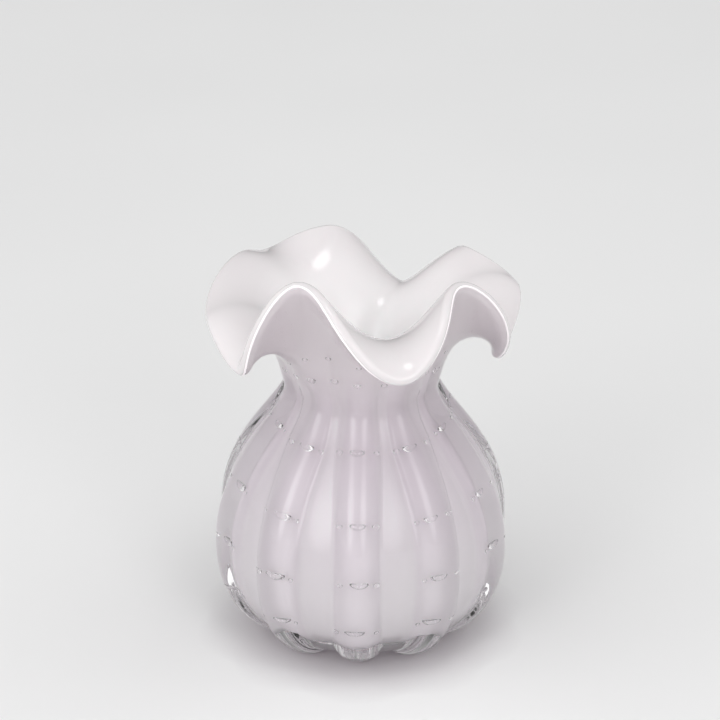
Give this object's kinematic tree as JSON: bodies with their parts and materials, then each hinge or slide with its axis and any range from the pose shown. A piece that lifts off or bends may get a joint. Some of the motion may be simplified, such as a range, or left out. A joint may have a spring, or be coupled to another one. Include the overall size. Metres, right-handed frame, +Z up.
{
  "type": "glass vase",
  "caption": "Hand-blown cased glass vase shaped like a tied bag: ribbed clear casing with trapped bubbles over lilac and white glass, tight neck and ruffled lip.",
  "frame": {"origin": "on the table, under the middle of the vase's box", "axes": "+Z up along the vase's axis, +X to the right and -Y towards the viewer as pictured"},
  "size_m": [0.1458, 0.1488, 0.198],
  "materials": {
    "white_glass": "opaque white, glossy",
    "lilac_glass": "milky lilac, glossy",
    "clear_glass": "clear, fire-polished"
  },
  "bodies": {
    "root": {"white_lining": "white_glass", "lilac_overlay": "lilac_glass", "clear_casing": "clear_glass"}
  },
  "joints": []
}
